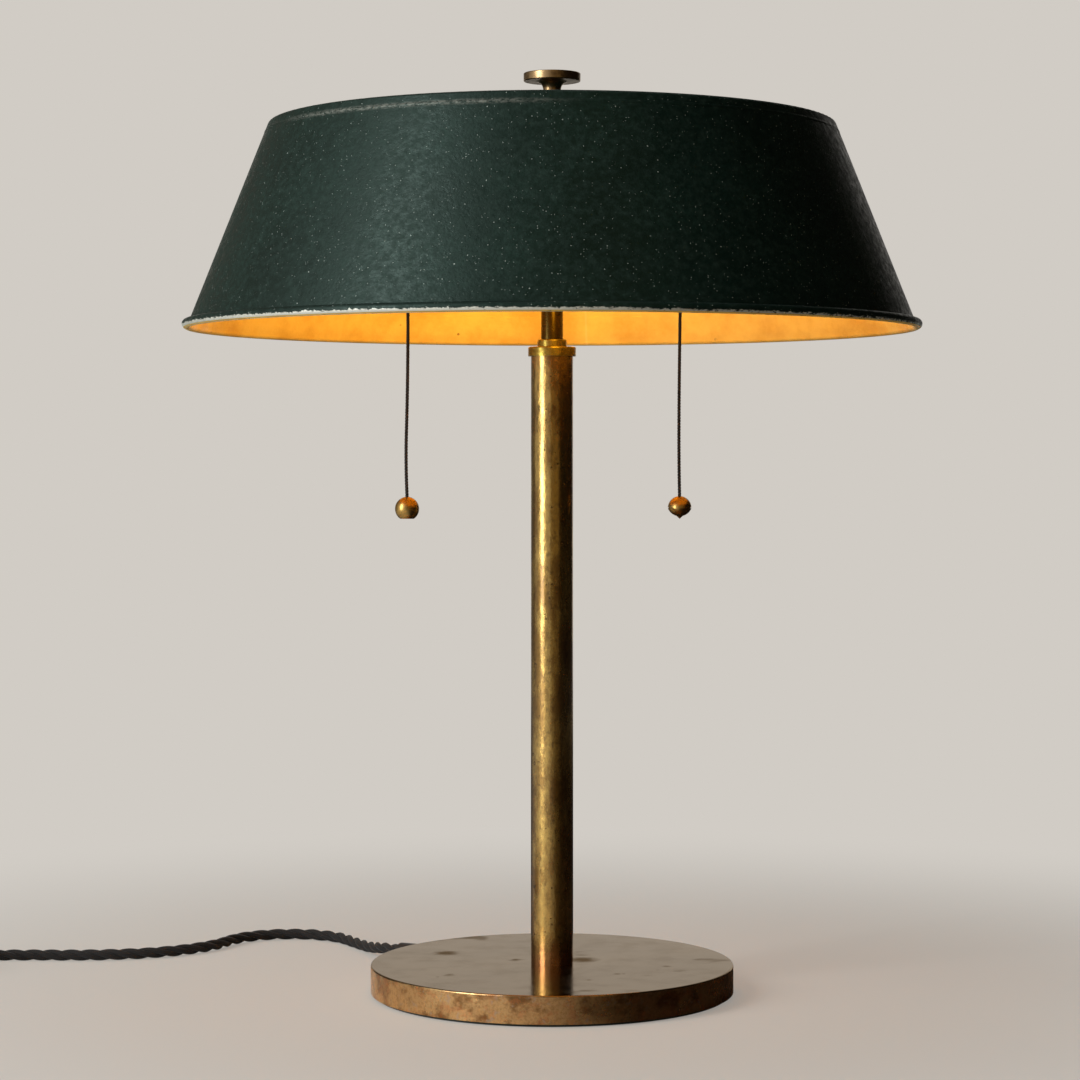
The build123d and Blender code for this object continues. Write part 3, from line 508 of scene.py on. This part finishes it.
def smooth_line(route, step):
    """Points a step apart along the smooth line through a cord's route."""
    curve = bpy.data.curves.new("route", "CURVE")
    curve.dimensions = "3D"
    curve.resolution_u = 16
    spline = curve.splines.new("NURBS")
    spline.points.add(len(route) - 1)
    for point, place in zip(spline.points, route):
        point.co = (*place, 1)
    spline.order_u = 3
    spline.use_endpoint_u = True
    holder = bpy.data.objects.new("route", curve)
    mesh = bpy.data.meshes.new_from_object(holder)
    line = [vertex.co.copy() for vertex in mesh.vertices]
    bpy.data.objects.remove(holder)
    bpy.data.meshes.remove(mesh)
    reach = [0.0]
    for a, b in zip(line, line[1:]):
        reach.append(reach[-1] + (b - a).length)
    count = max(2, round(reach[-1] / step))
    spaced = []
    i = 0
    for k in range(count + 1):
        want = reach[-1] * k / count
        while i < len(line) - 2 and reach[i + 1] < want:
            i += 1
        span = reach[i + 1] - reach[i]
        spaced.append(line[i].lerp(line[i + 1], (want - reach[i]) / span if span else 0))
    return spaced


def frames_along(line):
    """For each point, two directions square to the line there that don't twist round it."""
    ahead = [(b - a).normalized() for a, b in zip(line, line[1:])]
    ahead.append(ahead[-1])
    side = ahead[0].orthogonal().normalized()
    frames = []
    for direction in ahead:
        side = (side - direction * side.dot(direction)).normalized()
        frames.append((side, direction.cross(side)))
    return frames


def twisted(line, offset, lay):
    """The lines of strands laid round a line at an offset, one turn in each lay."""
    run = 0.0
    lines = [[] for _ in range(STRANDS)]
    for i, (point, (side, up)) in enumerate(zip(line, frames_along(line))):
        if i:
            run += (point - line[i - 1]).length
        for k, strand in enumerate(lines):
            angle = 2 * math.pi * (k / STRANDS + run / lay)
            strand.append(point + offset * (math.cos(angle) * side + math.sin(angle) * up))
    return lines


# ---- meshes ----
def piece(name, mesh, finish):
    """Turns a bmesh into an object of the scene."""
    data = bpy.data.meshes.new(name)
    mesh.to_mesh(data)
    mesh.free()
    data.materials.append(finish.data)
    made = bpy.data.objects.new(name, data)
    bpy.context.scene.collection.objects.link(made)
    return made


def tubes(name, lines, radius, sides, finish):
    """One mesh of round tubes with closed ends, each along its line."""
    mesh = bmesh.new()
    uv = mesh.loops.layers.uv.new("wrap")
    turns = [2 * math.pi * k / sides for k in range(sides)]
    for line in lines:
        rings = []
        for point, (side, up) in zip(line, frames_along(line)):
            ring = [point + radius * (math.cos(turn) * side + math.sin(turn) * up) for turn in turns]
            rings.append([mesh.verts.new(place) for place in ring])
        run = 0.0
        for i, (low, high) in enumerate(zip(rings, rings[1:])):
            step = (line[i + 1] - line[i]).length
            for k in range(sides):
                after = (k + 1) % sides
                face = mesh.faces.new((low[k], low[after], high[after], high[k]))
                corners = ((k, run), (k + 1, run), (k + 1, run + step), (k, run + step))
                for loop, (around, along) in zip(face.loops, corners):
                    loop[uv].uv = (around / sides, along)
            run += step
        mesh.faces.new(reversed(rings[0]))
        mesh.faces.new(rings[-1])
    for face in mesh.faces:
        face.smooth = len(face.verts) == 4
    return piece(name, mesh, finish)


def turned(name, outline, finish):
    """A ring turned about Z from a closed outline of (radius, height) points."""
    sides = 256
    mesh = bmesh.new()
    turns = [2 * math.pi * i / sides for i in range(sides)]
    rows = [[mesh.verts.new((r * math.cos(t), r * math.sin(t), z)) for r, z in outline] for t in turns]
    for i, row in enumerate(rows):
        after = rows[(i + 1) % sides]
        for k in range(len(outline)):
            up = (k + 1) % len(outline)
            mesh.faces.new((row[k], after[k], after[up], row[up])).smooth = True
    bmesh.ops.recalc_face_normals(mesh, faces=mesh.faces)
    return piece(name, mesh, finish)


# ---- paint in the shade's joints ----
WALL_IN_X = 0.195432  # the wall's inner face at the height of its foot
WALL_FOOT_Z = 0.3635
SLOPE = 0.3967  # how much the cone's radius grows for its fall
LINING = 0.00008  # how thick the rim's lining is on the rolled edge
LINING_RISE = 0.014  # how far it goes up the wall
JOINT_RISE = 0.0008  # how far the cap's joint goes up, and down, from the skirt's edge
JOINT_PROUD = 0.00016  # how far it stands out in the middle


def rim_lining(paint):
    """The cream paint that runs down inside, smooth over the fold, to the rolled edge's underside."""
    top = WALL_FOOT_Z + LINING_RISE
    wall_top = WALL_IN_X - LINING_RISE * SLOPE
    start = (wall_top + 0.0001, top - 0.0004)
    foot = (BEAD_X - BEAD_R - LINING, BEAD_Z - 0.0003)
    reach = BEAD_R + LINING
    # its upper end, just proud of the wall
    outline = [(wall_top + 0.0004, top), (wall_top - 0.00002, top), start]
    for i in range(1, 8):
        outline.append(tuple(a + (b - a) * i / 8 for a, b in zip(start, foot)))
    for degrees in range(186, 284, 12):
        turn = math.radians(degrees)
        outline.append((BEAD_X + reach * math.cos(turn), BEAD_Z + reach * math.sin(turn)))
    # closed inside the rolled edge
    outline.append((BEAD_X + 0.0006, BEAD_Z - BEAD_R + 0.0004))
    outline.append((BEAD_X - BEAD_R + 0.0006, BEAD_Z))
    lining = turned("rim_lining", outline, paint)
    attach(lining, "shade")


def cap_joint(paint):
    """The paint that fills the joint under the cap's skirt, a little proud of it."""
    outline = []
    for i in range(9):
        rise = JOINT_RISE * (i / 4 - 1)
        proud = JOINT_PROUD * math.cos(math.pi / 2 * rise / JOINT_RISE)
        outline.append((SKIRT_X - rise * SLOPE + proud, SKIRT_Z + rise))
    # closed inside the wall
    outline += [(SKIRT_X - 0.0008, SKIRT_Z + JOINT_RISE), (SKIRT_X - 0.0004, SKIRT_Z - JOINT_RISE)]
    joint = turned("cap_joint", outline, paint)
    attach(joint, "shade")


# ---- mains flex ----
FLEX_D = 0.0065
FLEX_LAY = 0.033  # one turn of its strands
FLEX_STRAND_R = 0.00163
FLEX_STRAND_OUT = 0.00162  # from the flex's middle to a strand's
FLEX_Z = FLEX_D / 2 + 0.00005  # where it lies on the table
FLEX_ROUTE = [
    (-0.05515, 0.05515, 0.0084),
    (-0.09581, 0.09581, 0.0084),
    (-0.106, 0.121, FLEX_Z + 0.0006),
    (-0.117, 0.143, FLEX_Z),
    (-0.128, 0.1635, FLEX_Z),
    (-0.1481, 0.1747, FLEX_Z),
    (-0.171, 0.1731, FLEX_Z),
    (-0.1894, 0.1593, FLEX_Z),
    (-0.1995, 0.131, FLEX_Z),
    (-0.227, 0.108, FLEX_Z),
    (-0.264, 0.099, FLEX_Z),
    (-0.304, 0.1005, FLEX_Z),
    (-0.338, 0.0985, FLEX_Z),
]
COIL = Vector((-0.372, 0.0565, FLEX_Z))
COIL_PITCH = 0.0066  # from one turn to the next, and from the lower layer to the upper
COIL_INNER = 0.0288
COIL_OUTER = 0.042
COIL_START = math.radians(74)
COIL_END = math.radians(180)
COIL_LAYER_TURNS = 3
COIL_STEPS = 16  # points to a turn
TAIL_ROUTE = [(-0.415, 0.0305, 0.0086), (-0.4125, 0.0095, 0.0086)]


def coil_route():
    """The put-away coil: in from its outer turn along the floor, up at the middle, and out again on top."""
    points = []
    total = 2 * COIL_LAYER_TURNS + (COIL_END - COIL_START) / (2 * math.pi)
    for i in range(round(total * COIL_STEPS) + 1):
        turns = i / COIL_STEPS
        inward = min(turns, max(0, 2 * COIL_LAYER_TURNS - turns))
        radius = max(COIL_INNER, COIL_OUTER - COIL_PITCH * inward)
        climb = min(1, max(0, turns - COIL_LAYER_TURNS + 1))
        height = COIL_PITCH * math.sqrt(2 * climb - climb * climb)
        angle = COIL_START + 2 * math.pi * turns
        points.append(COIL + Vector((radius * math.cos(angle), radius * math.sin(angle), height)))
    return points


def mains_flex():
    line = smooth_line(FLEX_ROUTE + coil_route() + TAIL_ROUTE, step=0.0015)
    finish = braid("flex textile", FLEX, FLEX_RIDGE_HIGHLIGHT, pitch=0.0022, depth=0.00012)
    strands = twisted(line, FLEX_STRAND_OUT, FLEX_LAY)
    flex = tubes("mains_flex", strands, FLEX_STRAND_R, sides=10, finish=finish)
    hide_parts("mains_cord", "cord_coil", "mains_cord_tail")
    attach(flex, "lamp")


# ---- pull cords ----
PULL_LAY = 0.0048  # one turn of its strands
PULL_STRAND_R = 0.00048
PULL_STRAND_OUT = 0.0005  # from the cord's middle to a strand's
PULL_LEFT = [
    (-0.07756, -0.017906, 0.41987),
    (-0.07756, -0.017906, 0.3859),
    (-0.07746, -0.017906, 0.35836),
    (-0.07786, -0.018106, 0.32164),
    (-0.07886, -0.017806, 0.28798),
    (-0.07796, -0.017906, 0.269),
]
PULL_RIGHT = [
    (0.070739, 0.016331, 0.41987),
    (0.070739, 0.016331, 0.3859),
    (0.070239, 0.016331, 0.35836),
    (0.069839, 0.016531, 0.32164),
    (0.069739, 0.016331, 0.28798),
    (0.070139, 0.016431, 0.269),
]


def pull_cord(side, route):
    line = smooth_line(route, step=0.0004)
    finish = braid(f"pull braid {side}", BRAID, BRAID_RIDGE_HIGHLIGHT, pitch=0.0016, depth=0.00008)
    strands = twisted(line, PULL_STRAND_OUT, PULL_LAY)
    cord = tubes(f"pull_braid_{side}", strands, PULL_STRAND_R, sides=8, finish=finish)
    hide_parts(f"pull_cord_{side}")
    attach(cord, f"pull_{side}")


# ---- the object ----
wear(["stem_tube"], stem_brass())
wear(["neck_tube"], polished_brass("neck bronze", BRONZE, roughness=0.2, tarnish=0.5))
wear(["stem_collar", "neck_ring"],
     polished_brass("collar brass", BRASS_GOLD, roughness=0.24, tarnish=0.5))
wear(["base_shell"], base_brass())
wear(["cluster_body", "cluster_lid", "arm_sleeve_left", "arm_sleeve_right", "holder_cap_left",
      "holder_cap_right", "holder_shell_left", "holder_shell_right", "pull_spout_left",
      "pull_spout_right", "shade_seat", "stem_bushes"], aged_brass("aged brass"))
wear(["finial_knob", "finial_washer"], polished_brass("finial brass", BRASS_FINIAL, roughness=0.28))
wear(["pull_ball_left", "pull_ball_right", "pull_ball_right_tip"],
     polished_brass("ball brass", BRASS_POLISHED, roughness=0.3, tarnish=0.3))
wear(["screw_shells", "centre_contacts", "cord_clamp", "bulb_caps", "pull_knot_left", "pull_knot_right",
      "plug_blades"], plain_brass())
paint = shade_paint()
wear(["shade_cone", "shade_cap", "rim_wire"], paint)
rim_lining(paint)
cap_joint(paint)
wear(["tie_rod", "rod_nuts", "foot_washer", "arm_nipples", "shade_rod", "lid_nut", "clamp_screws",
      "lever_pins", "lever_springs", "switch_lever_left", "switch_lever_right"], steel())
wear(["base_weight"], cast_iron())
wear(["base_felt"], felt())
wear(["holder_insulator_left", "holder_insulator_right", "terminal_block", "cord_gland"],
     moulded("phenolic", PHENOLIC, roughness=0.45))
wear(["holder_liners"], moulded("fibre", FIBRE, roughness=0.8))
wear(["stem_leads", "arm_leads"], moulded("lead rubber", RUBBER, roughness=0.6))
wear(["plug_body"], moulded("plug plastic", PLUG, roughness=0.32))
wear(["bulb_glass_left", "bulb_glass_right"], opal_glass())
mains_flex()
pull_cord("left", PULL_LEFT)
pull_cord("right", PULL_RIGHT)


# ---- stage ----
FLOOR_R = 6.0
FLOOR_Z = -0.0002
FADE_FROM = 0.15  # how far out the floor starts to fade into the background
FADE_TO = 0.7
FADE_LEAST = 0.45  # how much of the background shows at the lamp
MIRROR_FADE_FROM = 1.2  # the same, as brass and paint mirror it
MIRROR_FADE_TO = 3.0
WINDOW_TURN = math.radians(155)  # from the window's side of the floor round to +X
CURTAIN_HEIGHT = 2.2
CURTAIN_TOP = 80  # degrees up from the floor, of 90 at the dome's top
CURTAIN_ROWS = 8
CURTAIN_COLUMNS = 24


def background_rays(tree):
    """1 for the rays that see the background: the camera's, the mirrored, and those through glass."""
    light_path = tree.nodes.new("ShaderNodeLightPath")
    seen = light_path.outputs["Is Camera Ray"]
    for kind in ("Is Glossy Ray", "Is Transmission Ray"):
        node = tree.nodes.new("ShaderNodeMath")
        node.operation = "MAXIMUM"
        tree.links.new(seen, node.inputs[0])
        tree.links.new(light_path.outputs[kind], node.inputs[1])
        seen = node.outputs[0]
    return seen


def world(fill):
    """A pale background, and a dimmer even fill for the light that falls on the lamp."""
    made = bpy.data.worlds.new("studio")
    bpy.context.scene.world = made
    made.use_nodes = True
    tree = made.node_tree
    pale = tree.nodes["Background"]
    pale.inputs["Color"].default_value = (*WALL, 1)
    dim = tree.nodes.new("ShaderNodeBackground")
    dim.inputs["Color"].default_value = (*WALL, 1)
    dim.inputs["Strength"].default_value = fill
    mix = tree.nodes.new("ShaderNodeMixShader")
    tree.links.new(background_rays(tree), mix.inputs[0])
    tree.links.new(dim.outputs[0], mix.inputs[1])
    tree.links.new(pale.outputs[0], mix.inputs[2])
    tree.links.new(mix.outputs[0], tree.nodes["World Output"].inputs[0])


def floor():
    """A pale floor that keeps the lamp's shadow and turns into the background further out.

    Brass and paint mirror a painted reflection of it: dark, and white on the window's side as if the window
    lit it.
    """
    finish = Finish("floor", WALL, roughness=0.9)
    tree = finish.tree
    mirrored = tree.nodes.new("ShaderNodeLightPath").outputs["Is Glossy Ray"]
    spin = finish.math("ARCTAN2", finish.part(finish.place, "Y"), finish.part(finish.place, "X"))
    from_window = finish.math("COSINE", finish.math("ADD", spin, WINDOW_TURN))
    seen_color = finish.mix(finish.band(finish.noise(0.4, detail=3), 0.3, 0.7, 0, 0.1), WALL, DUST)
    # painted reflection: the floor dark, and white towards the window's side
    painted_reflection_color = finish.mix(finish.band(from_window, 0, 0.75), MIRRORED_FLOOR, (1, 1, 1))
    finish.paint(finish.mix(mirrored, seen_color, painted_reflection_color))
    glow = tree.nodes.new("ShaderNodeEmission")
    glow.inputs["Color"].default_value = (*WALL, 1)
    mix = tree.nodes.new("ShaderNodeMixShader")
    reach = finish.vector("LENGTH", finish.place)
    faded = finish.band(reach, FADE_FROM, FADE_TO, FADE_LEAST, 1)
    faded = finish.math("MULTIPLY", faded, background_rays(tree))
    far = finish.mix(mirrored, faded, finish.band(reach, MIRROR_FADE_FROM, MIRROR_FADE_TO))
    tree.links.new(far, mix.inputs[0])
    tree.links.new(finish.shader.outputs[0], mix.inputs[1])
    tree.links.new(glow.outputs[0], mix.inputs[2])
    tree.links.new(mix.outputs[0], tree.nodes["Material Output"].inputs[0])
    mesh = bmesh.new()
    bmesh.ops.create_circle(mesh, cap_ends=True, radius=FLOOR_R, segments=96)
    made = piece("floor", mesh, finish)
    made.location.z = FLOOR_Z


def curtain(name, color, radius, start, end):
    """Part of a dome round the lamp, which the camera doesn't see: brass and paint mirror it.

    It goes from start to end, in degrees turned from +X.
    """
    finish = Finish(name, (0, 0, 0), roughness=1.0, Emission_Strength=1.0)
    finish.shader.inputs["Emission Color"].default_value = (*color, 1)
    mesh = bmesh.new()
    rows = []
    arc = [math.radians(start + (end - start) * i / CURTAIN_COLUMNS) for i in range(CURTAIN_COLUMNS + 1)]
    for row in range(CURTAIN_ROWS + 1):
        lift = math.radians(CURTAIN_TOP * row / CURTAIN_ROWS)
        reach = radius * math.cos(lift)
        rise = CURTAIN_HEIGHT * math.sin(lift)
        rows.append([mesh.verts.new((reach * math.cos(a), reach * math.sin(a), rise)) for a in arc])
    for low, high in zip(rows, rows[1:]):
        for i in range(CURTAIN_COLUMNS):
            mesh.faces.new((low[i], low[i + 1], high[i + 1], high[i]))
    made = piece(name, mesh, finish)
    made.visible_camera = False


def area_light(name, place, target, size, power):
    """A rectangular light at a place, turned to its target."""
    data = bpy.data.lights.new(name, "AREA")
    data.shape = "RECTANGLE"
    data.size, data.size_y = size
    data.energy = power
    made = bpy.data.objects.new(name, data)
    made.location = place
    made.rotation_euler = (Vector(target) - Vector(place)).to_track_quat("-Z", "Y").to_euler()
    bpy.context.scene.collection.objects.link(made)


def point_light(name, place, power, radius, lit):
    """A small round light that falls on one collection of objects."""
    data = bpy.data.lights.new(name, "POINT")
    data.energy = power
    data.color = BULB_LIGHT
    data.shadow_soft_size = radius
    made = bpy.data.objects.new(name, data)
    made.location = place
    made.light_linking.receiver_collection = lit
    bpy.context.scene.collection.objects.link(made)


def collected(name, members):
    made = bpy.data.collections.new(name)
    for member in members:
        made.objects.link(member)
    return made


def bulb_light(side, lit):
    """The light of a lit bulb, from inside its glass."""
    glass = nodes[f"bulb_glass_{side}"]
    low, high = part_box(glass.name)
    point_light(f"bulb light {side}", (low + high) / 2, power=0.16, radius=0.018, lit=lit)
    glass.visible_shadow = False
    glass.light_linking.receiver_collection = lit


shade_pieces = [nodes["shade_cone"], nodes["shade_cap"], nodes["rim_wire"], bpy.data.objects["rim_lining"]]
held_inside = [node for name, node in nodes.items()
               if name.startswith(("cluster", "arm_", "holder", "bulb", "pull_spout", "shade_rod",
                                   "shade_seat"))]
neck = [nodes[name] for name in ("neck_tube", "neck_ring", "stem_collar")]
under_shade = collected("under the shade", shade_pieces + held_inside)
shade_only = collected("shade only", shade_pieces)
shade_and_neck = collected("shade and neck", shade_pieces + neck)
world(fill=0.45)
floor()
curtain("warm_front", WARM_ROOM, radius=2.0, start=-100, end=-52)
curtain("dark_side", DARK_ROOM, radius=2.0, start=-52, end=57)
curtain("dim_corner", DIM_WALL, radius=2.1, start=112, end=165)
area_light("window", (-1.8, -1.26, 1.1), target=(0, 0, 0.35), size=(0.85, 2.2), power=50)
bulb_light("left", under_shade)
bulb_light("right", under_shade)
point_light("glow behind", (-0.02, 0.08, 0.4), power=0.7, radius=0.03, lit=shade_only)
point_light("glow before", (0.02, -0.08, 0.4), power=0.36, radius=0.03, lit=shade_and_neck)
bpy.context.scene.view_settings.view_transform = "Standard"
